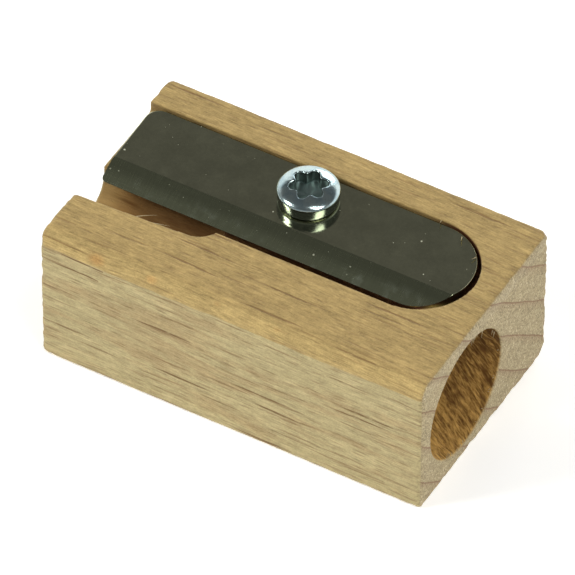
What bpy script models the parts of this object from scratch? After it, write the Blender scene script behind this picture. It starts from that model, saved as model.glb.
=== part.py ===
# A wooden pencil sharpener: a beech block, a steel blade and the screw that holds it down.
# Units are metres, +Z is up. The origin is the middle of the block's bottom face, and +X
# points out of the mouth that takes the pencil. The blade lies along the block's top.
import math

import bmesh
import bpy
from mathutils import Matrix, Vector

MM = 0.001
MERGE = 0.00001

# Block
BLOCK_LENGTH = 26.0 * MM
BLOCK_WIDTH = 15.0 * MM
BLOCK_HEIGHT = 10.5 * MM
TOP_FRONT_ROUND = 0.9 * MM
EDGE_ROUND_SHARE = 0.3          # the other edges' rounding, as a share of the one above

# Pencil bore: a short straight guide, then a cone that ends in a small flat
BORE_RADIUS = 4.16 * MM
BORE_MOUTH_Y = -2.2 * MM
BORE_MOUTH_Z = 5.18 * MM
GUIDE_LENGTH = 2.2 * MM
CONE_HALF_ANGLE = math.radians(11.5)
CONE_TIP_RADIUS = 0.5 * MM
BORE_SKEW = math.radians(2.6)   # seen from above, the bore leans towards the blade

# Recess that the blade lies in, milled from the left end
RECESS_RADIUS = 3.75 * MM
RECESS_Y = 1.45 * MM
RECESS_END_X = 11.42 * MM
RECESS_DEPTH = 0.9 * MM

# Throat: a round-nosed cut beside the blade, where the shavings and the point come out
THROAT_RADIUS = 1.75 * MM
THROAT_OPEN_Y = -1.95 * MM
THROAT_END = (-5.55 * MM, -1.55 * MM)
THROAT_CENTRE_DEPTH = 1.55 * MM

# Blade
BLADE_THICKNESS = 0.65 * MM
BLADE_LEFT_X = -12.5 * MM
BLADE_RIGHT_X = 11.02 * MM
EDGE_Y = -1.3 * MM
BLADE_BACK_Y = 5.12 * MM
BACK_CORNER_RADIUS = 1.0 * MM
EDGE_CORNER_RADIUS = 0.35 * MM
BEVEL_ANGLE = math.radians(21.7)
BLADE_HOLE_RADIUS = 1.35 * MM
SEAT_GAP = 0.04 * MM            # blade to recess floor, and screw head to blade

# Screw: a pan head tapping screw, 2.2 x 6.5 mm, with a six-lobe socket
SCREW_X = -0.6 * MM
SCREW_Y = 2.93 * MM
SCREW_LENGTH = 6.5 * MM
THREAD_PITCH = 0.8 * MM
THREAD_RADIUS = 1.12 * MM
CORE_RADIUS = 0.82 * MM
THREAD_FOOT_RADIUS = 0.7 * MM   # the ridge's foot, sunk in the core
THREAD_FOOT_WIDTH = 0.42 * MM
THREAD_CREST_WIDTH = 0.06 * MM
THREAD_RUN_OUT = 0.3 * MM       # how far the ridge runs up into the head
THREAD_START_HEIGHT = 0.16 * MM # from the point's end to where the thread begins
THREAD_START_RADIUS = 0.24 * MM
POINT_LENGTH = 1.7 * MM
POINT_RADIUS = 0.12 * MM
HEAD_RADIUS = 1.92 * MM
HEAD_SIDE_HEIGHT = 0.8 * MM
HEAD_CROWN = 0.55 * MM
HEAD_RIM_ROUND = 0.3 * MM
HEAD_FOOT_ROUND = 0.15 * MM
SOCKET_LOBES = 6
SOCKET_OUTER_RADIUS = 1.22 * MM
SOCKET_INNER_RADIUS = 0.87 * MM
SOCKET_DEPTH = 0.95 * MM
SOCKET_TURN = math.radians(95)

# Threaded hole in the wood
THREAD_CLEARANCE = 0.08 * MM
HOLE_SPARE_DEPTH = 0.8 * MM

ROUND_STEPS = 48
FINE_STEPS = 64                 # for the round ends of the recess and the blade
CORNER_STEPS = 32
NOSE_RINGS = 8                  # rings in the throat cutter's round nose
ARC_STEPS = 4
THREAD_STEPS = 24
THREAD_LIMIT_SHARE = 1.1        # the solid that trims the thread, as a share of its size
PAST = 2.0 * MM                 # how far a cutter runs past the surface that it opens

BLOCK_TOP = BLOCK_HEIGHT
HALF_LENGTH = BLOCK_LENGTH / 2
RECESS_FLOOR = BLOCK_TOP - RECESS_DEPTH
BLADE_BOTTOM = RECESS_FLOOR + SEAT_GAP
BLADE_TOP = BLADE_BOTTOM + BLADE_THICKNESS
HEAD_BOTTOM = BLADE_TOP + SEAT_GAP
HEAD_SIDE_TOP = HEAD_BOTTOM + HEAD_SIDE_HEIGHT
HEAD_TOP = HEAD_SIDE_TOP + HEAD_CROWN
SCREW_TIP = HEAD_BOTTOM - SCREW_LENGTH


def start_scene(name):
    """Empty the scene and make one collection for the parts and one for their cutters."""
    for thing in list(bpy.data.objects):
        bpy.data.objects.remove(thing, do_unlink=True)
    collections = []
    for label in (name, name + "_cutters"):
        collection = bpy.data.collections.new(label)
        bpy.context.scene.collection.children.link(collection)
        collections.append(collection)
    return collections


def finish_material(name, colour, roughness, metallic):
    material = bpy.data.materials.new(name)
    material.use_nodes = True
    shader = material.node_tree.nodes["Principled BSDF"]
    shader.inputs["Base Color"].default_value = (*colour, 1.0)
    shader.inputs["Roughness"].default_value = roughness
    shader.inputs["Metallic"].default_value = metallic
    return material


def object_from(work, name, collection):
    """Make an object from a bmesh, in the given collection."""
    bmesh.ops.recalc_face_normals(work, faces=work.faces)
    mesh = bpy.data.meshes.new(name)
    work.to_mesh(mesh)
    work.free()
    thing = bpy.data.objects.new(name, mesh)
    collection.objects.link(thing)
    return thing


def box(name, collection, size, centre):
    work = bmesh.new()
    bmesh.ops.create_cube(work, size=1.0)
    bmesh.ops.scale(work, verts=work.verts, vec=size)
    bmesh.ops.translate(work, verts=work.verts, vec=centre)
    return object_from(work, name, collection)


def disc(x, y, z, radius, steps=ROUND_STEPS):
    """Points of a level circle."""
    turn = 2 * math.pi / steps
    return [Vector((x + radius * math.cos(turn * i), y + radius * math.sin(turn * i), z))
            for i in range(steps)]


def hull(name, collection, points):
    """The convex body round some points: what a straight pass of a cutting tool sweeps."""
    work = bmesh.new()
    for point in points:
        work.verts.new(point)
    found = bmesh.ops.convex_hull(work, input=work.verts)
    inside = {item for key in ("geom_interior", "geom_unused") for item in found[key]
              if isinstance(item, bmesh.types.BMVert)}
    bmesh.ops.delete(work, geom=list(inside), context="VERTS")
    bmesh.ops.dissolve_limit(work, angle_limit=math.radians(0.2),
                             verts=work.verts, edges=work.edges)
    return object_from(work, name, collection)


def settled(thing, collection):
    """Replace an object by a plain mesh of what its curve or modifiers show."""
    bpy.context.view_layer.update()
    shown = thing.evaluated_get(bpy.context.evaluated_depsgraph_get())
    work = bmesh.new()
    work.from_mesh(bpy.data.meshes.new_from_object(shown))
    bmesh.ops.remove_doubles(work, verts=work.verts, dist=MERGE)
    open_edges = [edge for edge in work.edges if edge.is_boundary]
    if open_edges:
        bmesh.ops.holes_fill(work, edges=open_edges)
    name, place = thing.name, thing.matrix_world.copy()
    bpy.data.objects.remove(thing, do_unlink=True)
    result = object_from(work, name, collection)
    result.matrix_world = place
    return result


def profile_object(name, collection, points, closed=False):
    """A line of (radius, height) points in the XZ plane, ready for a Screw modifier."""
    mesh = bpy.data.meshes.new(name)
    edges = [(i, i + 1) for i in range(len(points) - 1)]
    if closed:
        edges.append((len(points) - 1, 0))
    mesh.from_pydata([(radius, 0.0, height) for radius, height in points], edges, [])
    thing = bpy.data.objects.new(name, mesh)
    collection.objects.link(thing)
    return thing


def turned(name, collection, points, steps=ROUND_STEPS):
    """A turned solid. The profile runs from the axis at the top to the axis at the bottom."""
    thing = profile_object(name, collection, points)
    spin = thing.modifiers.new("Turn", "SCREW")
    spin.steps = spin.render_steps = steps
    spin.use_merge_vertices = True
    spin.merge_threshold = MERGE
    return settled(thing, collection)


def thread_ridge(name, collection, low, high, grow=0.0):
    """A right-hand helical ridge round the Z axis, from height low to height high."""
    half_foot = THREAD_FOOT_WIDTH / 2 + grow
    half_crest = THREAD_CREST_WIDTH / 2 + grow
    inner = THREAD_FOOT_RADIUS / 3
    section = [(inner, -half_foot), (THREAD_FOOT_RADIUS, -half_foot),
               (THREAD_RADIUS + grow, -half_crest), (THREAD_RADIUS + grow, half_crest),
               (THREAD_FOOT_RADIUS, half_foot), (inner, half_foot)]
    first_turn = math.floor(low / THREAD_PITCH)
    points = [(radius, first_turn * THREAD_PITCH + height) for radius, height in section]
    thing = profile_object(name, collection, points, closed=True)
    spin = thing.modifiers.new("Thread", "SCREW")
    spin.steps = spin.render_steps = THREAD_STEPS
    spin.screw_offset = THREAD_PITCH
    spin.iterations = math.ceil(high / THREAD_PITCH) - first_turn
    spin.use_merge_vertices = False
    return settled(thing, collection)


def outline_plate(name, collection, outline, low, high):
    """A flat plate with the given outline, between two heights."""
    curve = bpy.data.curves.new(name, "CURVE")
    curve.dimensions = "2D"
    curve.fill_mode = "BOTH"
    curve.extrude = (high - low) / 2
    spline = curve.splines.new("POLY")
    spline.points.add(len(outline) - 1)
    for point, (x, y) in zip(spline.points, outline):
        point.co = (x, y, 0.0, 1.0)
    spline.use_cyclic_u = True
    thing = bpy.data.objects.new(name, curve)
    collection.objects.link(thing)
    thing.location.z = (high + low) / 2
    return settled(thing, collection)


def hide_cutter(thing):
    thing.hide_render = True
    thing.display_type = "WIRE"


def combine(target, other, operation, solver="EXACT"):
    """Add a Boolean modifier; the other object becomes a hidden cutter."""
    step = target.modifiers.new(other.name, "BOOLEAN")
    step.operation = operation
    step.solver = solver
    step.object = other
    hide_cutter(other)


def cut_away(target, cutters, group_name, tools):
    """Cut a group of crossing tools out of a solid, all in one Boolean."""
    group = bpy.data.collections.new(group_name)
    cutters.children.link(group)
    for tool in tools:
        cutters.objects.unlink(tool)
        group.objects.link(tool)
        hide_cutter(tool)
    step = target.modifiers.new(group_name, "BOOLEAN")
    step.operation = "DIFFERENCE"
    step.operand_type = "COLLECTION"
    step.collection = group


def shade_round(thing, degrees=35):
    thing.data.shade_smooth()
    thing.data.set_sharp_from_angle(angle=math.radians(degrees))


def bore_cutter(cutters):
    """The stepped reamer that makes the pencil bore, with its axis through the mouth."""
    cone_length = (BORE_RADIUS - CONE_TIP_RADIUS) / math.tan(CONE_HALF_ANGLE)
    depth = GUIDE_LENGTH + cone_length
    reamer = turned("pencil_bore", cutters, [
        (0.0, PAST), (BORE_RADIUS, PAST), (BORE_RADIUS, -GUIDE_LENGTH),
        (CONE_TIP_RADIUS, -depth), (0.0, -depth)])
    # The bore tilts by the cone's own half angle, so the cone's top line is level.
    outwards = Vector((math.cos(CONE_HALF_ANGLE) * math.cos(BORE_SKEW),
                       -math.cos(CONE_HALF_ANGLE) * math.sin(BORE_SKEW),
                       -math.sin(CONE_HALF_ANGLE)))
    mouth = Vector((HALF_LENGTH, BORE_MOUTH_Y, BORE_MOUTH_Z))
    turn = outwards.to_track_quat("Z", "Y").to_matrix().to_4x4()
    reamer.matrix_world = Matrix.Translation(mouth) @ turn
    return reamer


def recess_cutter(cutters):
    """An end mill's straight pass from beyond the left end to the recess's round end."""
    points = []
    for x in (-HALF_LENGTH - RECESS_RADIUS - PAST, RECESS_END_X - RECESS_RADIUS):
        for z in (RECESS_FLOOR, BLOCK_TOP + PAST):
            points += disc(x, RECESS_Y, z, RECESS_RADIUS, FINE_STEPS)
    return hull("blade_recess", cutters, points)


def throat_cutter(cutters):
    """A ball-nosed mill's straight pass from beyond the left end to the throat's end."""
    end_x, end_y = THROAT_END
    slope = (end_y - THROAT_OPEN_Y) / (end_x + HALF_LENGTH)
    start_x = -HALF_LENGTH - THROAT_RADIUS - PAST
    start_y = THROAT_OPEN_Y + slope * (start_x + HALF_LENGTH)
    centre_z = BLOCK_TOP - THROAT_CENTRE_DEPTH
    points = []
    for x, y in ((start_x, start_y), (end_x, end_y)):
        points += disc(x, y, BLOCK_TOP + PAST, THROAT_RADIUS, CORNER_STEPS)
        for ring in range(NOSE_RINGS):
            angle = math.pi / 2 * ring / NOSE_RINGS
            points += disc(x, y, centre_z - THROAT_RADIUS * math.sin(angle),
                           THROAT_RADIUS * math.cos(angle), CORNER_STEPS)
        points.append(Vector((x, y, centre_z - THROAT_RADIUS)))
    return hull("chip_throat", cutters, points)


def screw_hole_cutters(cutters):
    """The hole that the screw has cut for itself: a pilot hole and its helical groove."""
    floor = SCREW_TIP - HOLE_SPARE_DEPTH
    pilot_radius = CORE_RADIUS + THREAD_CLEARANCE
    top = RECESS_FLOOR + PAST
    pilot = turned("pilot_hole", cutters, [
        (0.0, top), (pilot_radius, top), (pilot_radius, floor + pilot_radius),
        (0.0, floor)], steps=THREAD_STEPS)
    groove = thread_ridge("thread_groove", cutters, SCREW_TIP, RECESS_FLOOR + THREAD_PITCH,
                          grow=THREAD_CLEARANCE)
    for cutter in (pilot, groove):
        cutter.location.x = SCREW_X
        cutter.location.y = SCREW_Y
    return [pilot, groove]


def make_block(parts, cutters):
    block = box("wooden_body", parts, (BLOCK_LENGTH, BLOCK_WIDTH, BLOCK_HEIGHT),
                (0.0, 0.0, BLOCK_HEIGHT / 2))
    weights = block.data.attributes.new("bevel_weight_edge", "FLOAT", "EDGE")
    for edge in block.data.edges:
        ends = [block.data.vertices[i].co for i in edge.vertices]
        top_front = all(end.y < 0 and end.z > BLOCK_HEIGHT / 2 for end in ends)
        weights.data[edge.index].value = 1.0 if top_front else EDGE_ROUND_SHARE
    rounding = block.modifiers.new("Edges", "BEVEL")
    rounding.limit_method = "WEIGHT"
    rounding.width = TOP_FRONT_ROUND
    rounding.segments = 3
    cut_away(block, cutters, "body_tools", [
        bore_cutter(cutters), recess_cutter(cutters), throat_cutter(cutters),
        *screw_hole_cutters(cutters)])
    block.data.materials.append(finish_material("beech", (0.52, 0.36, 0.18), 0.6, 0.0))
    return block


def make_blade(parts, cutters):
    end_radius = (BLADE_BACK_Y - EDGE_Y) / 2
    points = []
    for z in (BLADE_BOTTOM, BLADE_TOP):
        points += disc(BLADE_RIGHT_X - end_radius, EDGE_Y + end_radius, z, end_radius,
                       FINE_STEPS)
        points += disc(BLADE_LEFT_X + BACK_CORNER_RADIUS, BLADE_BACK_Y - BACK_CORNER_RADIUS,
                       z, BACK_CORNER_RADIUS, CORNER_STEPS)
        points += disc(BLADE_LEFT_X + EDGE_CORNER_RADIUS, EDGE_Y + EDGE_CORNER_RADIUS,
                       z, EDGE_CORNER_RADIUS, CORNER_STEPS)
    blade = hull("blade", parts, points)

    # The ground bevel rises from the cutting edge, at the blade's underside, to its top.
    bevel_width = BLADE_THICKNESS / math.tan(BEVEL_ANGLE)
    stone = box("bevel_stone", cutters,
                (BLOCK_LENGTH + PAST, 4 * bevel_width, 2 * PAST), (0.0, 0.0, PAST))
    stone.rotation_euler.x = BEVEL_ANGLE
    stone.location = (0.0, EDGE_Y, BLADE_BOTTOM)
    combine(blade, stone, "DIFFERENCE")

    hole = turned("blade_hole", cutters, [
        (0.0, BLADE_TOP + PAST), (BLADE_HOLE_RADIUS, BLADE_TOP + PAST),
        (BLADE_HOLE_RADIUS, BLADE_BOTTOM - PAST), (0.0, BLADE_BOTTOM - PAST)])
    hole.location.x = SCREW_X
    hole.location.y = SCREW_Y
    combine(blade, hole, "DIFFERENCE")
    blade.data.materials.append(
        finish_material("blade_steel", (0.075, 0.073, 0.055), 0.25, 1.0))
    return blade


def head_profile():
    """The pan head and the core, from the crown's middle down to the screw's point."""
    points = [(0.0, HEAD_TOP)]
    # Crown: a shallow dome whose edge turns down into the side on a small radius
    dome_edge = HEAD_RADIUS - HEAD_RIM_ROUND
    dome_drop = HEAD_CROWN - HEAD_RIM_ROUND
    for step in range(1, ARC_STEPS + 1):
        share = step / ARC_STEPS
        points.append((dome_edge * share, HEAD_TOP - dome_drop * share ** 2))
    for step in range(1, ARC_STEPS + 1):
        angle = math.pi / 2 * step / ARC_STEPS
        points.append((dome_edge + HEAD_RIM_ROUND * math.sin(angle),
                       HEAD_SIDE_TOP + HEAD_RIM_ROUND * math.cos(angle)))
    points += [(HEAD_RADIUS, HEAD_BOTTOM + HEAD_FOOT_ROUND),
               (HEAD_RADIUS - HEAD_FOOT_ROUND, HEAD_BOTTOM), (CORE_RADIUS, HEAD_BOTTOM),
               (CORE_RADIUS, SCREW_TIP + POINT_LENGTH), (POINT_RADIUS, SCREW_TIP),
               (0.0, SCREW_TIP)]
    return points


def socket_outline():
    """The six-lobe socket seen from above: a circle whose radius swings in and out."""
    middle = (SOCKET_OUTER_RADIUS + SOCKET_INNER_RADIUS) / 2
    swing = (SOCKET_OUTER_RADIUS - SOCKET_INNER_RADIUS) / 2
    outline = []
    for step in range(ROUND_STEPS):
        angle = 2 * math.pi * step / ROUND_STEPS
        radius = middle + swing * math.cos(SOCKET_LOBES * (angle - SOCKET_TURN))
        outline.append((radius * math.cos(angle), radius * math.sin(angle)))
    return outline


def make_screw(parts, cutters):
    screw = turned("blade_screw", parts, head_profile())

    # The thread runs up into the head, and is trimmed to a cone at the point.
    thread = thread_ridge("screw_thread", cutters, SCREW_TIP + THREAD_PITCH, HEAD_BOTTOM)
    limit_radius = THREAD_RADIUS * THREAD_LIMIT_SHARE
    limit_top = HEAD_BOTTOM + THREAD_RUN_OUT
    limit_low = SCREW_TIP + THREAD_START_HEIGHT
    limit = turned("thread_limit", cutters, [
        (0.0, limit_top), (limit_radius, limit_top),
        (limit_radius, SCREW_TIP + POINT_LENGTH * THREAD_LIMIT_SHARE),
        (THREAD_START_RADIUS, limit_low), (0.0, limit_low)])
    # The thread's skewed faces need the Manifold solver.
    combine(thread, limit, "INTERSECT", solver="MANIFOLD")
    combine(screw, thread, "UNION", solver="MANIFOLD")

    socket = outline_plate("socket", cutters, socket_outline(),
                           HEAD_TOP - SOCKET_DEPTH, HEAD_TOP + PAST)
    combine(screw, socket, "DIFFERENCE", solver="MANIFOLD")
    for thing in (screw, thread, limit, socket):
        thing.location.x = SCREW_X
        thing.location.y = SCREW_Y
    screw.data.materials.append(
        finish_material("zinc_plate", (0.62, 0.66, 0.68), 0.22, 1.0))
    return screw


def main():
    parts, cutters = start_scene("pencil_sharpener")
    for thing in (make_block(parts, cutters), make_blade(parts, cutters),
                  make_screw(parts, cutters)):
        shade_round(thing)


main()
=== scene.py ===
import math
import random

import bmesh
import bpy
import numpy as np
from mathutils import Matrix, Vector, noise


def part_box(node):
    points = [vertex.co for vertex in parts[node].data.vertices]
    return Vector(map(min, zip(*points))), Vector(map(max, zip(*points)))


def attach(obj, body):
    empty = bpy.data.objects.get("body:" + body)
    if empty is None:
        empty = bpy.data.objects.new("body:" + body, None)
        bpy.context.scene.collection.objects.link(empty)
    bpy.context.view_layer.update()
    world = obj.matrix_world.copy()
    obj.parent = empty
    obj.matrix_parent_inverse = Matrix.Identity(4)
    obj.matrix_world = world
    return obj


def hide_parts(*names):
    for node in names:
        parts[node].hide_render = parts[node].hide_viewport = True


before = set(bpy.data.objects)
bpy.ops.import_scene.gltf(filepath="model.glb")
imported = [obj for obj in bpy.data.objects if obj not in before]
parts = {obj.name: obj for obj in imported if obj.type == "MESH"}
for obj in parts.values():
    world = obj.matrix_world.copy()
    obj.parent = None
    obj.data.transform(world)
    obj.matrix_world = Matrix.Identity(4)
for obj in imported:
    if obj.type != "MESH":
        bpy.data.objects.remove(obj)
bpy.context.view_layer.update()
mm = 0.001
blockLow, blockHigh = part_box("wooden_body")
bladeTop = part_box("blade")[1].z
screwLow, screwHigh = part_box("blade_screw")
screwAxis = Vector(((screwLow.x + screwHigh.x) / 2, (screwLow.y + screwHigh.y) / 2, 0))


class Wire:
    # wraps a node's output socket, so that shader values can be written as arithmetic
    def __init__(self, tree, socket=None):
        self.tree = tree
        self.socket = socket

    def node(self, kind, settings=None, inputs=None, output=0):
        # any node: its settings first, then values or links for its sockets
        made = self.tree.nodes.new("ShaderNode" + kind)
        for name, value in (settings or {}).items():
            if name != "stops":
                setattr(made, name, value)
                continue
            elements = made.color_ramp.elements
            while len(elements) < len(value):
                elements.new(0.5)
            for element, (place, colour) in zip(elements, value):
                element.position = place
                element.color = (*colour, 1) if isinstance(colour, tuple) else (colour, colour, colour, 1)
        for name, value in (inputs or {}).items():
            if isinstance(value, Wire):
                self.tree.links.new(value.socket, made.inputs[name])
            else:
                made.inputs[name].default_value = value
        return Wire(self.tree, made.outputs[output])

    def sum(self, operation, *values):
        return self.node("Math", {"operation": operation}, dict(enumerate(values)))

    def __add__(self, other):
        return self.sum("ADD", self, other)

    def __sub__(self, other):
        return self.sum("SUBTRACT", self, other)

    def __rsub__(self, other):
        return self.sum("SUBTRACT", other, self)

    def __mul__(self, other):
        return self.sum("MULTIPLY", self, other)

    def __truediv__(self, other):
        return self.sum("DIVIDE", self, other)

    __radd__ = __add__
    __rmul__ = __mul__

    def step(self, low, high):
        # 0 below low, 1 above high, smooth between; low may be the greater one
        settings = {"interpolation_type": "SMOOTHSTEP"}
        return self.node("MapRange", settings, {"Value": self, "From Min": low, "From Max": high})

    def mix(self, first, second):
        # this value blends two colours
        settings = {"data_type": "RGBA"}
        return self.node("Mix", settings, {0: self, 6: asColour(first), 7: asColour(second)}, 2)

    def scaled(self, vector):
        return self.node("VectorMath", {"operation": "MULTIPLY"}, {0: self, 1: vector})

    def part(self, index):
        return self.node("SeparateXYZ", None, {0: self}, index)


def asColour(value):
    return (*value, 1) if isinstance(value, tuple) and len(value) == 3 else value


def newMaterial(name):
    material = bpy.data.materials.new(name)
    material.use_nodes = True
    tree = material.node_tree
    return material, tree.nodes["Principled BSDF"], Wire(tree)


def link(wire, shader, name):
    wire.tree.links.new(wire.socket, shader.inputs[name])


def inMillimetres(wire):
    return wire.node("TexCoord", output="Object").scaled((1000, 1000, 1000))


def addBump(wire, shader, strength, distance, height):
    # distance is the height of the bumps in metres
    bump = wire.node("Bump", None, {"Strength": strength, "Distance": distance, "Height": height})
    link(bump, shader, "Normal")


def shaded(colour, factor):
    return tuple(channel * factor for channel in colour)


def grainNoise(place, scale, detail=3.0, rough=0.55):
    # noise of place, a vector already stretched to the size of the feature
    return place.node("TexNoise", {"normalize": True}, {
        "Vector": place, "Scale": scale, "Detail": detail, "Roughness": rough})


def newObject(name, mesh):
    thing = bpy.data.objects.new(name, mesh)
    bpy.context.scene.collection.objects.link(thing)
    return thing


def settledMesh(thing):
    # the mesh that an object's modifiers show
    bpy.context.view_layer.update()
    shown = thing.evaluated_get(bpy.context.evaluated_depsgraph_get())
    return bpy.data.meshes.new_from_object(shown)


def cadCopy(node, flat=False):
    # a closed copy of a CAD node's mesh, in a bmesh
    work = bmesh.new()
    work.from_mesh(parts[node].data)
    bmesh.ops.remove_doubles(work, verts=work.verts, dist=0.0005 * mm)
    if flat:
        bmesh.ops.dissolve_limit(work, angle_limit=math.radians(1), verts=work.verts, edges=work.edges)
    return work


# camera, floor and light

cameraView = {
    "azimuth": 28.75, "elevation": 47.27, "roll": 0.48,  # degrees
    "distance": 588.5 * mm, "lens": 615.4,
    "aim": Vector((-0.31, -0.12, 5.54)) * mm,
}


def direction(azimuth, elevation):
    # towards something seen from the object; azimuth 0 is -Y and 90 is +X
    a, e = math.radians(azimuth), math.radians(elevation)
    return Vector((math.sin(a) * math.cos(e), -math.cos(a) * math.cos(e), math.sin(e)))


def makeCamera():
    view = cameraView
    back = direction(view["azimuth"], view["elevation"])
    right = direction(view["azimuth"] + 90, 0)
    up = back.cross(right)
    roll = math.radians(view["roll"])
    right, up = right * math.cos(roll) + up * math.sin(roll), up * math.cos(roll) - right * math.sin(roll)
    camera = bpy.data.objects.new("camera", bpy.data.cameras.new("camera"))
    bpy.context.scene.collection.objects.link(camera)
    camera.data.lens = view["lens"]
    camera.data.sensor_width = 36
    camera.data.clip_start = 0.01
    turn = Matrix((right, up, back)).transposed().to_4x4()
    camera.matrix_world = Matrix.Translation(view["aim"] + back * view["distance"]) @ turn
    bpy.context.scene.camera = camera


studio = {
    "floorSize": 3.0, "floorColour": (0.93, 0.93, 0.925), "floorGlow": 0.32,
    # the back wall is bright; the ceiling and the near wall, which the metal mirrors, are dim
    "backWall": 1.32, "nearWall": 0.38, "ceiling": 0.13, "wallTop": (0.42, 0.62),
    # azimuth, elevation, distance, size, watts, colour
    "lamps": [(-52.0, 42.0, 0.5, 0.16, 1.5, (1.0, 0.985, 0.94)),
              (72.0, 52.0, 0.5, 0.20, 0.95, (1.0, 0.99, 0.96)),
              (60.0, 68.0, 0.5, 0.13, 0.30, (1.0, 0.99, 0.96)),
              (190.0, 24.0, 0.6, 0.24, 0.5, (0.90, 0.96, 1.0))],
}


def makeStudio():
    bpy.context.scene.view_settings.view_transform = "Standard"
    work = bmesh.new()
    bmesh.ops.create_grid(work, x_segments=1, y_segments=1, size=studio["floorSize"] / 2)
    floorMesh = bpy.data.meshes.new("floor")
    work.to_mesh(floorMesh)
    work.free()
    floor = newObject("floor", floorMesh)
    floor.location.z = blockLow.z - 0.02 * mm
    material, shader, wire = newMaterial("floorPaper")
    shader.inputs["Base Color"].default_value = asColour(studio["floorColour"])
    shader.inputs["Roughness"].default_value = 0.9
    shader.inputs["Specular IOR Level"].default_value = 0.1
    shader.inputs["Emission Color"].default_value = asColour(studio["floorColour"])
    shader.inputs["Emission Strength"].default_value = studio["floorGlow"]
    floorMesh.materials.append(material)

    world = bpy.data.worlds.new("studio")
    world.use_nodes = True
    bpy.context.scene.world = world
    wire = Wire(world.node_tree)
    towards = wire.node("TexCoord", output=0)
    behind = towards.part(1).step(-0.1, 0.5)
    wall = behind * (studio["backWall"] - studio["nearWall"]) + studio["nearWall"]
    overhead = towards.part(2).step(*studio["wallTop"])
    strength = overhead * (studio["ceiling"] - wall) + wall
    background = world.node_tree.nodes["Background"]
    background.inputs["Color"].default_value = (1, 1, 1, 1)
    world.node_tree.links.new(strength.socket, background.inputs["Strength"])

    for index, (azimuth, elevation, distance, size, watts, colour) in enumerate(studio["lamps"]):
        data = bpy.data.lights.new("lamp%d" % index, "AREA")
        data.shape = "DISK"
        data.size = size
        data.energy = watts
        data.color = colour
        lamp = bpy.data.objects.new("lamp%d" % index, data)
        bpy.context.scene.collection.objects.link(lamp)
        back = direction(azimuth, elevation)
        lamp.location = back * distance
        lamp.rotation_euler = back.to_track_quat("Z", "Y").to_euler()


makeCamera()
makeStudio()
print("camera and studio ready")


# the beech block

blockLook = {
    "voxel": 0.095 * mm,
    "skew": 0.028,  # the saw cut both ends a little off square
    "bore": {"mouthY": -2.2, "mouthZ": 5.18, "radius": 4.16, "guide": 2.2,
             "halfAngle": 11.5, "skew": 2.6},
    "recessFloor": 9.6, "recess": {"radius": 3.75, "roundX": 7.67, "middleY": 1.45},
    "throatEnd": (-3.4, 0.2),
    # how deep the surface is worked, in mm
    "sawn": 0.030, "planed": 0.010, "endGrain": 0.03, "reamed": 0.11, "worn": 0.12,
    # corners knocked off: which way the cut faces, from the corner on that side, and its depth in mm
    "chips": [((1, 1, -1), 0.62), ((-1, 0.7, 1), 0.30), ((-1, -1, -1), 0.34), ((1, 1, 0.8), 0.36),
              ((-1, -0.5, 1), 0.22)],
    # small resin spots on the rounded edge: position and radius
    "resin": [((-1.2, -7.0, 10.1), 0.30), ((2.9, -7.05, 10.1), 0.26), ((-9.3, -7.2, 9.9), 0.5),
              ((-5.6, -7.1, 10.0), 0.4)],
    "golden": (0.355, 0.250, 0.096), "band": (0.405, 0.292, 0.114), "sawnColour": (0.44, 0.365, 0.190),
    "endColour": (0.38, 0.308, 0.179), "orange": (0.47, 0.235, 0.065), "blush": (0.35, 0.235, 0.11),
    "fleckColour": (0.150, 0.070, 0.020), "ringColour": (0.225, 0.125, 0.070),
    "speckColour": (0.75, 0.70, 0.58),
    "boreDark": (0.118, 0.050, 0.007), "boreLight": (0.62, 0.365, 0.098),
    "throatDark": (0.135, 0.062, 0.012), "throatLight": (0.42, 0.250, 0.085),
    # painted shade deep in the throat
    "throatShade": (0.10, 0.045, 0.009),
    # painted shade, used in the recess round the blade and deep in the bore
    "paintedShade": (0.06, 0.017, 0.004),
}


def smooth(low, high, value):
    t = np.clip((value - low) / (high - low), 0, 1)
    return t * t * (3 - 2 * t)


def sampleNoise(points, scale, octaves=2):
    # smooth noise at many points; scale is a stretch for each axis
    stretched = points * np.array(scale)
    return np.array([noise.fractal(Vector(p), 1.0, 2.0, octaves) for p in stretched])


def boreMeasures(points):
    # distance along the bore from its mouth, distance from its axis, the wall's radius, angle round it
    bore = blockLook["bore"]
    tilt, skew = math.radians(bore["halfAngle"]), math.radians(bore["skew"])
    axis = np.array((-math.cos(tilt) * math.cos(skew), math.cos(tilt) * math.sin(skew), math.sin(tilt)))
    mouth = np.array((blockHigh.x / mm, bore["mouthY"], bore["mouthZ"]))
    offset = points - mouth
    along = offset @ axis
    across = offset - along[:, None] * axis
    side = np.cross(axis, (0, 0, 1))
    side /= np.linalg.norm(side)
    above = np.cross(side, axis)
    angle = np.arctan2(across @ above, across @ side)
    radius = bore["radius"] - np.clip(along - bore["guide"], 0, None) * math.tan(tilt)
    return along, np.linalg.norm(across, axis=1), radius, angle


def remeshedBlock():
    work = cadCopy("wooden_body")
    mesh = bpy.data.meshes.new("beechBlock")
    work.to_mesh(mesh)
    work.free()
    block = newObject("beechBlock", mesh)
    remesh = block.modifiers.new("remesh", "REMESH")
    remesh.mode = "VOXEL"
    remesh.voxel_size = blockLook["voxel"]
    block.data = settledMesh(block)
    block.modifiers.clear()
    return block


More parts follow.
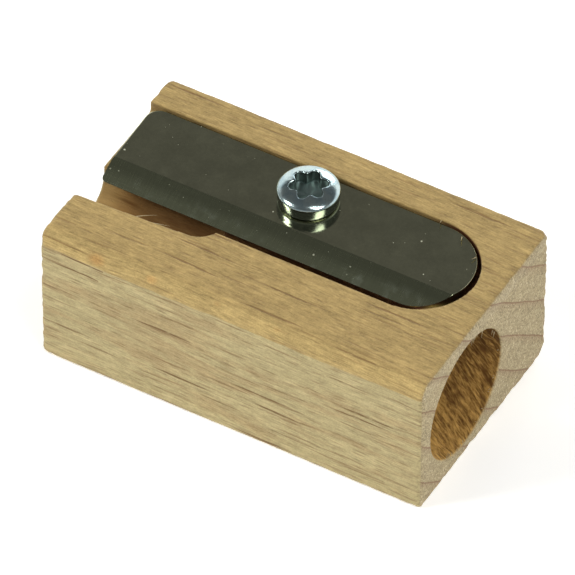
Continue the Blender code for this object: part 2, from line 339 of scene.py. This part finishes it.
def makeBlock():
    look = blockLook
    block = remeshedBlock()
    mesh = block.data
    count = len(mesh.vertices)
    print("block remeshed:", count, "points")
    flat = np.empty(count * 3, np.float32)
    mesh.vertices.foreach_get("co", flat)
    place = flat.reshape(-1, 3).astype(float) / mm
    mesh.vertices.foreach_get("normal", flat)
    facing = flat.reshape(-1, 3).astype(float)
    low, high = np.array(blockLow) / mm, np.array(blockHigh) / mm
    x, y, z = place.T

    # which surface each point is on
    along, distance, radius, angle = boreMeasures(place)
    onSkin = smooth(0.15, 0.05, np.minimum(place - low, high - place).min(axis=1))
    inBore = smooth(0.25, 0.08, np.abs(distance - radius)) * smooth(0.0, 0.12, high[0] - x)
    inBore *= smooth(look["recessFloor"] - 0.3, look["recessFloor"] - 0.5, z)
    aboveFloor = smooth(look["recessFloor"] - 0.12, look["recessFloor"] - 0.02, z)
    between = smooth(-4.6, -4.3, y) * smooth(5.8, 5.5, y)
    throatX, throatY = look["throatEnd"]
    inThroat = (1 - inBore) * (1 - onSkin)
    inThroat *= smooth(throatY, throatY - 0.2, y) * smooth(throatX, throatX - 0.2, x)
    # painted shade: the recess's upright walls beside the blade are darkened as if in shadow
    recessWall = (1 - onSkin) * aboveFloor * smooth(0.75, 0.5, np.abs(facing[:, 2])) * (1 - inThroat)
    # painted shade: the recess floor is darkened along its wall and beside the cutting edge, in the
    # narrow gap round the blade
    recess = look["recess"]
    fromWall = recess["radius"] - np.hypot(np.clip(x - recess["roundX"], 0, None), y - recess["middleY"])
    nearWall = np.maximum(smooth(0.75, 0.45, fromWall), smooth(-0.6, -1.1, y))
    nearWall *= (1 - onSkin) * smooth(throatX - 2.2, throatX - 1.2, x) * smooth(9.1, 9.3, z)
    recessWall = np.maximum(recessWall, nearWall)
    recessWall *= 1 - 0.65 * smooth(3.2, 4.8, y) * smooth(8.5, 6.0, x)
    inThroat *= between
    recessWall *= between * smooth(high[2] - 0.01, high[2] - 0.07, z)
    recessWall *= smooth(high[0] - 0.6, high[0] - 1.2, x)
    resin = 0
    for spot, size in look["resin"]:
        resin = resin + smooth(size, size * 0.3, np.linalg.norm((place - spot) * (0.6, 1, 1), axis=1))
    front = smooth(-0.6, -0.9, facing[:, 1]) * onSkin
    back = smooth(0.6, 0.9, facing[:, 1]) * onSkin
    ends = smooth(0.6, 0.9, np.abs(facing[:, 0])) * onSkin
    top = smooth(0.6, 0.9, facing[:, 2]) * onSkin

    # saw marks, fibres and torn grain
    fibres = sampleNoise(place, (0.16, 3.2, 3.2), 3)
    broad = sampleNoise(place + 30, (0.22, 0.7, 0.7), 2)
    fine = sampleNoise(place + 60, (2.6, 2.6, 2.6), 2)
    depth = (front + back) * look["sawn"] * (0.8 * fibres + 0.5 * broad)
    depth += top * look["planed"] * (fibres + broad)
    depth += ends * look["endGrain"] * (0.7 * fine + 0.3 * broad)
    arc = angle * radius
    torn = np.column_stack((arc * 2.6 - along * 1.3, (along + arc * 0.5) * 0.8, distance * 0.4))
    torn = sampleNoise(torn, (1, 1, 1), 3)
    depth += inBore * look["reamed"] * torn * smooth(0.05, 0.7, high[0] - x)
    depth += inBore * 0.05 * sampleNoise(place + 17, (1.3, 2.6, 2.6), 2)
    depth += inThroat * 0.03 * sampleNoise(place + 11, (0.5, 1.6, 1.6), 2)

    # edges have lost a little wood, unevenly; least along the bottom
    closest = np.sort(np.minimum(place - low, high - place), axis=1)
    edge = smooth(0.5, 0.0, closest[:, 1]) * onSkin
    nibble = np.clip(sampleNoise(place + 90, (1.6, 1.6, 1.6), 3) + 0.25, 0, 1.2)
    depth -= edge * look["worn"] * nibble * (0.25 + 0.75 * smooth(1.5, 0.5, high[0] - np.abs(x)))
    place += facing * depth[:, None]
    for towards, cut in look["chips"]:
        corner = np.where(np.array(towards) > 0, high, low)
        towards = np.array(towards) / np.linalg.norm(towards)
        past = (place - corner) @ towards + cut
        past = np.where(past > 0, past + 0.03 * fine, 0)
        place -= np.clip(past, 0, None)[:, None] * towards
    place = np.clip(place, low, high)
    nearEnd = smooth(10.8, 12.8, np.abs(place[:, 0]))
    place[:, 0] += look["skew"] * (place[:, 1] - look["bore"]["mouthY"]) * nearEnd
    mesh.vertices.foreach_set("co", (place * mm).astype(np.float32).ravel())

    # coordinates along and round the bore, for its torn grain
    masks = {"boreWall": inBore, "throatWall": inThroat, "endFace": ends, "recessWall": recessWall,
             "resin": resin, "boreAlong": along, "boreRound": arc}
    for name, values in masks.items():
        attribute = mesh.attributes.new(name, "FLOAT", "POINT")
        attribute.data.foreach_set("value", values.astype(np.float32))
    mesh.shade_smooth()
    mesh.materials.clear()
    mesh.materials.append(makeBeech())
    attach(block, "body")
    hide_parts("wooden_body")


def makeBeech():
    look = blockLook
    material, shader, wire = newMaterial("beech")
    flat = inMillimetres(wire)
    x, y, z = (flat.part(i) for i in range(3))
    bore, throat, endFace, recess, resin, along, arc = (
        wire.node("Attribute", {"attribute_name": name}, output="Fac")
        for name in ("boreWall", "throatWall", "endFace", "recessWall", "resin", "boreAlong",
                     "boreRound"))
    # the grain wanders a little and runs slightly downhill along the block
    rise = x * 0.025 + grainNoise(flat.scaled((0.07, 0.25, 0.25)), 1.0, 1.0) * 0.9
    place = wire.node("CombineXYZ", None, {0: x, 1: y + rise, 2: z + rise})

    def tinted(colour, tone):
        inputs = {0: tone, 1: tone * 1.02 - 0.02, 2: tone * 1.10 - 0.10}
        channels = wire.node("CombineColor", None, inputs)
        settings = {"data_type": "RGBA", "blend_type": "MULTIPLY"}
        return wire.node("Mix", settings, {0: 1.0, 6: asColour(colour), 7: channels}, 2)

    # streaks along X: fine fibres, pores and soft clouds
    threads = grainNoise(place.scaled((0.9, 13.0, 13.0)), 1.0, 2.0, 0.7)
    fibre = grainNoise(place.scaled((0.25, 4.2, 4.2)), 1.0, 4.0, 0.75)
    cloud = grainNoise(place.scaled((0.38, 1.0, 1.0)), 1.0, 3.0, 0.65)
    mottle = grainNoise(place.scaled((1.5, 4.5, 4.5)), 1.0, 3.0, 0.7)
    grit = grainNoise(flat, 9.0, 2.0, 0.75)

    # rays show as thin dark dashes along the grain; across = y + z works on every long side
    across = y + z + x * 0.012 + grainNoise(flat.scaled((0.16, 0.3, 0.3)), 1.0, 2.0) * 0.55

    def dashes(length, width, reach, thick, chosen, shift):
        # at most one dash in each length by width cell, reach long and thick high each way, in mm
        spot = wire.node("CombineXYZ", None, {0: x / length + shift, 1: across / width + shift * 3})
        cells = {"Vector": spot, "Scale": 1.0, "Randomness": 0.85}
        settings = {"feature": "F1", "voronoi_dimensions": "2D"}
        middle = wire.node("TexVoronoi", settings, cells, "Position")
        chance = wire.node("TexVoronoi", settings, cells, "Color").part(0)
        away = wire.node("VectorMath", {"operation": "SUBTRACT"}, {0: spot, 1: middle})
        along, above = away.part(0) * (length / reach), away.part(1) * (width / thick)
        return (along * along + above * above).step(1.0, 0.1) * chance.step(chosen, chosen + 0.25)

    ragged = grainNoise(place.scaled((1.1, 9.0, 9.0)), 1.0, 2.0).step(0.26, 0.50)
    bold = dashes(6.5, 1.2, 2.6, 0.10, 0.40, 3.3)
    faint = dashes(4.2, 0.75, 1.9, 0.095, 0.35, 7.7)
    tiny = dashes(1.5, 0.34, 0.6, 0.075, 0.40, 1.9)
    dash = wire.sum("MAXIMUM", wire.sum("MAXIMUM", bold, faint * 0.55), tiny * 0.36) * ragged

    # the planed top is golden; a brighter band rounds over into the paler sawn side
    edgeWave = grainNoise(flat.scaled((0.35, 0.1, 0.1)), 1.0, 3.0)
    planed = (z + edgeWave * 0.5).step(9.64, 9.76)
    band = planed * (y + cloud * 0.8).step(-6.1, -6.7)
    topTone = cloud * 0.70 + fibre * 0.45 + mottle * 0.90 + threads * 0.95 + grit * 0.70 - 0.81
    sideTone = cloud * 0.35 + fibre * 0.65 + mottle * 0.40 + threads * 1.05 + grit * 0.60 - 0.53
    topBase = (resin * 0.6).mix(band.mix(look["golden"], look["band"]), look["orange"])
    sideBlush = grainNoise(place.scaled((0.16, 0.9, 0.9)), 1.0, 3.0).step(0.48, 0.68)
    sideBase = (sideBlush * 0.45).mix(look["sawnColour"], look["blush"])
    long = planed.mix(tinted(sideBase, sideTone), tinted(topBase, topTone))
    flecked = (dash * (0.85 - planed * 0.2)).mix(long, look["fleckColour"])

    # end grain: greyer, speckled with pores; growth rings cross it as thin brown lines
    wander = grainNoise(flat.scaled((0.1, 0.22, 0.22)), 1.0, 1.0)
    crooked = grainNoise(flat.scaled((0.5, 2.2, 2.2)), 1.0, 2.0)
    ringPhase = wire.sum("FRACT", (y * 0.88 + z) / 3.0 + wander * 0.35 + crooked * 0.03 + 1.13)
    late = ringPhase.step(0.66, 0.985) * (1 - ringPhase.step(0.985, 1.0))
    line = ringPhase.step(0.925, 0.97) * (1 - ringPhase.step(0.985, 1.0))
    pores = grainNoise(flat.scaled((2.0, 7.0, 7.0)), 1.0, 2.0, 0.7)
    rayPlace = wire.node("CombineXYZ", None, {0: (y - z * 0.95) * 5.0, 1: (y * 0.95 + z) * 0.7, 2: x})
    rays = grainNoise(rayPlace, 1.0, 2.0)
    endTone = pores * 1.40 + grit * 2.0 + rays * 0.45 + cloud * 0.35 - 1.10
    ring = wire.sum("MINIMUM", late * 0.24 + line * 0.62, 0.75)
    speckled = (grit * 0.5 + pores * 0.5).step(0.56, 0.66) * 0.35
    endColour = speckled.mix(tinted(look["endColour"], endTone), look["speckColour"])
    endColour = ring.mix(endColour, look["ringColour"])
    skin = endFace.mix(flecked, endColour)

    # the reamed bore is dark with torn light fibres, and painted shade darkens its roof and its deep end;
    # the throat is smoother, with painted shade darkening it inwards and painted light near its open end
    slantInputs = {0: arc * 3.0 - along * 1.5, 1: (along + arc * 0.5) * 0.8, 2: 0.5}
    slantPlace = wire.node("CombineXYZ", None, slantInputs)
    slant = grainNoise(slantPlace, 1.0, 3.0, 0.6)
    tufts = grainNoise(slantPlace.scaled((2.2, 1.9, 1.0)), 1.0, 2.0, 0.6)
    boreTone = (slant * 0.42 + tufts * 0.8 - arc * 0.018).step(0.48, 1.00)
    boreColour = boreTone.mix(look["boreDark"], look["boreLight"])
    # painted shade: the upper and deeper parts of the bore are darkened as if in shadow
    inside = wire.sum("MAXIMUM", z.step(7.6, 8.8), along.step(3.6, 6.5))
    boreColour = (inside * 0.8).mix(boreColour, look["paintedShade"])
    throatTone = grainNoise(flat.scaled((0.35, 1.6, 2.2)), 1.0, 3.0, 0.6).step(0.32, 0.68)
    # painted shade: the throat darkens inwards from its open end, and painted light (golden) brightens it
    # near the open end
    throatShade = (x + throatTone * 1.5).step(-11.8, -8.2)
    throatColour = throatTone.mix(look["throatDark"], look["throatLight"])
    throatColour = (throatShade * 0.8).mix(throatColour, look["throatShade"])
    throatColour = (x.step(-10.8, -12.6) * 0.55).mix(throatColour, look["golden"])
    # painted shade darkens the recess walls and floor round the blade
    colour = bore.mix(throat.mix(recess.mix(skin, look["paintedShade"]), throatColour), boreColour)
    link(colour, shader, "Base Color")
    link(0.78 - planed * 0.16 + fibre * 0.1 - dash * 0.06, shader, "Roughness")
    shader.inputs["Specular IOR Level"].default_value = 0.3

    sawn = (1 - planed * 0.5) * (threads + grit * 0.7) + fibre * 0.8 - dash * 0.9
    rest = endFace * (pores * 1.3 + grit * 1.1 - line * 0.5 - sawn) + sawn
    height = bore * (slant * 2.6 + tufts * 2.2 - rest) + rest
    addBump(wire, shader, 0.65, 0.08 * mm, height)
    return material


makeBlock()
print("beech block ready")


# loose fibres on the block's edges

fibreLook = {
    "colour": (0.50, 0.40, 0.22), "thickness": 0.035, "sides": 5, "segments": 7,
    # start, direction, length, upward curl, sideways curl
    "known": [((-8.9, -3.55, 10.42), (0.9, 0.62, 0.15), 1.5, 0.3, 0.5),
              ((-8.2, -3.62, 10.40), (1.0, 0.30, 0.10), 1.7, 0.1, 0.25),
              ((7.2, 5.18, 10.42), (0.3, -1.0, 0.35), 0.45, 0.2, 0.1),
              ((8.9, 4.62, 10.40), (0.5, -1.0, 0.30), 0.50, 0.2, 0.2),
              ((10.4, 3.60, 10.38), (-0.2, -1.0, 0.20), 0.40, 0.1, 0.2)],
    "mouth": 26, "corner": 16, "seed": 11,
}


def makeFibres():
    look = fibreLook
    chance = random.Random(look["seed"])
    bore = blockLook["bore"]
    fibres = list(look["known"])
    for _ in range(look["mouth"]):
        angle = chance.uniform(-2.4, 1.4)
        y = bore["mouthY"] + bore["radius"] * math.cos(angle)
        z = bore["mouthZ"] + bore["radius"] * math.sin(angle)
        towards = (-math.cos(angle) - 0.2, -math.sin(angle) + chance.uniform(-0.6, 0.6))
        length = chance.uniform(0.15, 0.45)
        fibres.append(((12.9, y, z), (0.15, *towards), length, 0.0, chance.uniform(-0.4, 0.4)))
    for _ in range(look["corner"]):
        start = (chance.uniform(12.2, 13.0), chance.uniform(6.3, 7.35), chance.uniform(9.9, 10.4))
        towards = (chance.uniform(0.1, 0.6), chance.uniform(-0.2, 0.5), chance.uniform(-0.1, 0.8))
        fibres.append((start, towards, chance.uniform(0.15, 0.40), 0.0, chance.uniform(-0.5, 0.5)))
    work = bmesh.new()
    up = Vector((0, 0, 1))
    for start, towards, length, lift, swing in fibres:
        point, heading = Vector(start), Vector(towards).normalized()
        sideways = heading.cross(up).normalized()
        rings = []
        for index in range(look["segments"] + 1):
            share = index / look["segments"]
            thick = look["thickness"] * (1 - 0.85 * share)
            across = heading.cross(sideways).normalized()
            ring = []
            for side in range(look["sides"]):
                turn = math.tau * side / look["sides"]
                offset = (sideways * math.cos(turn) + across * 0.6 * math.sin(turn)) * thick
                ring.append(work.verts.new((point + offset) * mm))
            rings.append(ring)
            heading = (heading + (up * lift + sideways * swing) / look["segments"]).normalized()
            point = point + heading * length / look["segments"]
        for first, second in zip(rings, rings[1:]):
            for side in range(look["sides"]):
                after = (side + 1) % look["sides"]
                work.faces.new((first[side], first[after], second[after], second[side]))
        work.faces.new(reversed(rings[0]))
        work.faces.new(rings[-1])
    bmesh.ops.recalc_face_normals(work, faces=work.faces)
    mesh = bpy.data.meshes.new("looseFibres")
    work.to_mesh(mesh)
    work.free()
    mesh.shade_smooth()
    material, shader, wire = newMaterial("fibre")
    place = inMillimetres(wire)
    tone = grainNoise(place, 3.0, 2.0)
    link(tone.mix(shaded(look["colour"], 0.6), look["colour"]), shader, "Base Color")
    shader.inputs["Roughness"].default_value = 0.8
    mesh.materials.append(material)
    fibre = newObject("looseFibres", mesh)
    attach(fibre, "body")


makeFibres()
print("loose fibres ready")


# the blade

bladeLook = {
    "edgeRoll": 0.11 * mm,  # the stamped outline's rolled edge
    "ridgeRoll": 0.22 * mm,  # between the top and the ground bevel
    "holeReach": 2 * mm,  # nothing is rolled this near the screw's axis
    "steel": (0.47, 0.47, 0.315), "ground": (0.20, 0.215, 0.14), "dust": (0.55, 0.55, 0.48),
    "haze": (0.40, 0.46, 0.44),
}


def makeBlade():
    look = bladeLook
    work = cadCopy("blade", flat=True)
    rolled = []
    for edge in work.edges:
        onTop = all(abs(vertex.co.z - bladeTop) < 0.001 * mm for vertex in edge.verts)
        upright = len(edge.link_faces) == 2 and any(abs(face.normal.z) < 0.1 for face in edge.link_faces)
        atHole = (edge.verts[0].co.xy - screwAxis.xy).length <= look["holeReach"]
        if onTop and upright and not atHole:
            rolled.append(edge)
    bmesh.ops.bevel(work, geom=rolled, offset=look["edgeRoll"], segments=4, profile=0.5, affect="EDGES")
    ridge = [edge for edge in work.edges if edge.calc_length() > 15 * mm and len(edge.link_faces) == 2
             and math.radians(15) < edge.calc_face_angle(0) < math.radians(30)]
    bmesh.ops.bevel(work, geom=ridge, offset=look["ridgeRoll"], segments=4, profile=0.5, affect="EDGES")
    mesh = bpy.data.meshes.new("sharpenerBlade")
    work.to_mesh(mesh)
    work.free()
    blade = newObject("sharpenerBlade", mesh)
    mesh.shade_smooth()
    mesh.set_sharp_from_angle(angle=math.radians(50))
    weighted = blade.modifiers.new("normals", "WEIGHTED_NORMAL")
    weighted.weight = 100
    weighted.keep_sharp = True
    mesh.materials.clear()
    mesh.materials.append(makeSteel())
    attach(blade, "blade")
    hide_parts("blade")


def makeSteel():
    look = bladeLook
    material, shader, wire = newMaterial("bladeSteel")
    place = inMillimetres(wire)
    tilt = wire.node("TexCoord", output="Normal").part(1) * -1.0
    ground = tilt.step(0.2, 0.3) * (1 - tilt.step(0.6, 0.8))
    # grinding lines cross the bevel; faint rolling lines run along the top
    lines = grainNoise(place.scaled((14.0, 0.7, 0.7)), 1.0, 3.0, 0.7)
    rolling = grainNoise(place.scaled((0.5, 9.0, 1.0)), 1.0, 3.0, 0.7)
    patches = grainNoise(place.scaled((0.5, 0.6, 0.5)), 1.0, 3.0)
    smears = grainNoise(place.scaled((1.1, 0.9, 0.9)), 1.0, 4.0, 0.65).step(0.5, 0.75)

    def specks(scale, channel, size, outside, inside):
        cells = {"Vector": place, "Scale": scale, "Randomness": 1.0}
        near = wire.node("TexVoronoi", {"feature": "F1"}, cells)
        chance = wire.node("TexVoronoi", {"feature": "F1"}, cells, "Color").part(channel)
        return (near - chance * size).step(outside, inside)

    smallDust = specks(2.3, 1, 0.06, 0.025, -0.02) * 0.45
    dust = wire.sum("MAXIMUM", specks(1.15, 0, 0.07, 0.03, -0.03), smallDust)
    film = grainNoise(place, 4.5, 3.0, 0.7)
    nearEdge = place.part(1).step(-0.1, -1.0) * ground
    clouded = (patches * 0.6 + film * 0.4).step(0.25, 0.75)
    steel = clouded.mix(shaded(look["steel"], 0.86), shaded(look["steel"], 1.14))
    bevel = (lines * 0.4 + nearEdge * 0.6).mix(shaded(look["ground"], 0.68), shaded(look["ground"], 1.30))
    colour = (nearEdge * smears * 0.22).mix(ground.mix(steel, bevel), look["haze"])
    colour = (dust * 0.5).mix(colour, look["dust"])
    link(colour, shader, "Base Color")
    link(1 - dust * 0.8 - smears * (0.02 + nearEdge * 0.10), shader, "Metallic")
    link(0.10 + rolling * 0.04 + ground * (0.12 + lines * 0.05) + dust * 0.4, shader, "Roughness")
    height = rolling * 0.15 * (1 - ground) + lines * ground * 0.45 + dust * 1.5
    addBump(wire, shader, 0.14, 0.03 * mm, height)
    return material


makeBlade()
print("blade ready")


# the screw

screwLook = {
    "headRadius": 1.92, "headSide": 0.8, "crown": 0.55, "foot": 0.16, "sideCurve": 0.05,
    "socketOuter": 1.22, "socketInner": 0.87, "socketDepth": 0.95, "socketTurn": 95.0, "lip": 0.07,
    "core": 0.82, "thread": 1.12, "pitch": 0.8, "crest": 0.03, "ridgeFoot": 0.16,
    "threadStart": (0.24, 0.16),  # radius there, and height above the point
    "point": 1.7, "pointRadius": 0.12, "length": 6.5, "around": 144, "rowsPerTurn": 18,
    "lobes": 6, "burr": 0.03,
    "zinc": (0.51, 0.62, 0.61), "zincBlue": (0.38, 0.50, 0.53), "zincDull": (0.30, 0.35, 0.34),
    # the side colour is painted shade on the head's upright side and the thread
    "socketColour": (0.20, 0.27, 0.255), "paintedSideShade": (0.15, 0.165, 0.15),
}


def screwRows():
    # rings of (radius, height) in mm, from the socket's floor over the head and down to the point,
    # and how many of them are inside the socket
    look = screwLook
    angle = np.arange(look["around"]) * math.tau / look["around"]
    bottom = screwLow.z / mm + look["length"]
    sideTop = bottom + look["headSide"]
    crownTop = sideTop + look["crown"]
    middle = (look["socketOuter"] + look["socketInner"]) / 2
    swing = (look["socketOuter"] - look["socketInner"]) / 2
    lobes = np.cos(look["lobes"] * (angle - math.radians(look["socketTurn"])))
    lobed = middle + swing * (lobes - 0.12 * np.cos(2 * np.arccos(np.clip(lobes, -1, 1))))
    around = np.column_stack((np.cos(angle) * 3, np.sin(angle) * 3, np.full_like(angle, 4.2)))
    ragged = sampleNoise(around, (1, 1, 1))
    rows = []

    def dome(radius):
        return sideTop + look["crown"] * np.sqrt(np.clip(1 - (radius / look["headRadius"]) ** 2, 0, 1))

    floor = crownTop - look["socketDepth"]
    for share, lift in ((0.3, -0.08), (0.7, 0.0), (0.95, 0.0), (0.99, 0.05)):
        rows.append((lobed * share, np.full_like(angle, floor + lift)))
    lipRadius = lobed + look["lip"] + look["burr"] * ragged
    for share in np.linspace(0.2, 1.0, 6):
        height = floor + (dome(look["socketOuter"]) - look["lip"] - floor) * share
        rows.append((lobed * (0.995 + 0.02 * share), np.full_like(angle, height)))
    socketRows = len(rows)
    for share in (0.4, 0.8, 1.0):
        turn = share * math.pi / 2
        radius = lobed * 1.015 + (lipRadius - lobed * 1.015) * (1 - math.cos(turn))
        height = dome(lipRadius) - look["lip"] * (1 - math.sin(turn)) + look["burr"] * 0.5 * ragged
        rows.append((radius, height))
    for share in np.linspace(0.08, 1.0, 20):
        # evenly spaced by the dome's slope, so the shoulder is round
        slope = (1 - share) * np.arcsin(lipRadius / look["headRadius"]) + share * math.pi / 2
        radius = look["headRadius"] * np.sin(slope)
        rows.append((radius, dome(radius) + look["burr"] * 0.5 * ragged * (1 - share) ** 2))
    for share in np.linspace(0.1, 0.8, 8):
        bulge = look["headRadius"] - look["sideCurve"] * share ** 2
        rows.append((np.full_like(angle, bulge), np.full_like(angle, sideTop - look["headSide"] * share)))
    for step in range(1, 6):
        turn = math.pi / 2 * step / 5
        rows.append((np.full_like(angle, bulge - look["foot"] * (1 - math.cos(turn))),
                     np.full_like(angle, bottom + look["foot"] * (1 - math.sin(turn)))))
    tip = screwLow.z / mm
    stepDown = look["pitch"] / look["rowsPerTurn"]
    height = bottom
    while height > tip + 0.02:
        fromCrest = height / look["pitch"] - angle / math.tau
        fromCrest = np.abs(fromCrest - np.round(fromCrest)) * look["pitch"]
        ridge = np.clip(1 - (fromCrest - look["crest"]) / (look["ridgeFoot"] - look["crest"]), 0, 1)
        above = height - tip
        taper = (look["core"] - look["pointRadius"]) * above / look["point"]
        core = min(look["core"], look["pointRadius"] + taper)
        startRadius, startHeight = look["threadStart"]
        limit = min(look["thread"], startRadius + max(above - startHeight, 0) * 0.58)
        rows.append((core + max(limit - core, 0) * ridge, np.full_like(angle, height)))
        height -= stepDown
    rows.append((np.full_like(angle, look["pointRadius"] * 0.6), np.full_like(angle, tip)))
    return angle, rows, socketRows


def makeScrew():
    look = screwLook
    angle, rows, socketRows = screwRows()
    axis = screwAxis / mm
    points = [(axis.x, axis.y, rows[0][1][0] - 0.05)]
    for radius, height in rows:
        points += zip(axis.x + radius * np.cos(angle), axis.y + radius * np.sin(angle), height)
    points.append((axis.x, axis.y, rows[-1][1][0]))
    around = look["around"]
    faces = [(0, 1 + step, 1 + (step + 1) % around) for step in range(around)]
    for row in range(len(rows) - 1):
        first, second = 1 + row * around, 1 + (row + 1) * around
        for step in range(around):
            after = (step + 1) % around
            faces.append((first + step, second + step, second + after, first + after))
    last = 1 + (len(rows) - 1) * around
    faces += [(last + (step + 1) % around, last + step, len(points) - 1) for step in range(around)]
    mesh = bpy.data.meshes.new("zincScrew")
    mesh.from_pydata([(x * mm, y * mm, z * mm) for x, y, z in points], [], faces)
    work = bmesh.new()
    work.from_mesh(mesh)
    bmesh.ops.recalc_face_normals(work, faces=work.faces)
    work.to_mesh(mesh)
    work.free()
    screw = newObject("zincScrew", mesh)
    mesh.shade_smooth()
    mesh.set_sharp_from_angle(angle=math.radians(40))
    inside = np.zeros(len(points), np.float32)
    inside[:1 + socketRows * around] = 1
    mesh.attributes.new("socketWall", "FLOAT", "POINT").data.foreach_set("value", inside)
    mesh.materials.append(makeZinc())
    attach(screw, "screw")
    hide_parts("blade_screw")


def makeZinc():
    look = screwLook
    material, shader, wire = newMaterial("zincPlate")
    place = inMillimetres(wire)
    blotch = grainNoise(place, 1.6, 3.0, 0.6)
    grit = grainNoise(place, 9.0, 2.0, 0.6)
    colour = blotch.step(0.35, 0.65).mix(look["zinc"], look["zincBlue"])
    colour = (grit.step(0.52, 0.8) * 0.5).mix(colour, look["zincDull"])
    socket = wire.node("Attribute", {"attribute_name": "socketWall"}, output="Fac")
    # painted shade: faces whose normals point sideways (the head's side and the thread) are darkened,
    # standing for the dark blade and wood they mirror
    side = wire.node("TexCoord", output="Normal").part(2).step(0.45, 0.15)
    colour = (side * 0.75).mix((socket * 0.85).mix(colour, look["socketColour"]), look["paintedSideShade"])
    link(colour, shader, "Base Color")
    shader.inputs["Metallic"].default_value = 1.0
    link(0.06 + blotch * 0.12 + grit * 0.08 + socket * 0.22, shader, "Roughness")
    addBump(wire, shader, 0.35, 0.03 * mm, blotch + grit * 0.3)
    return material


makeScrew()
print("screw ready")
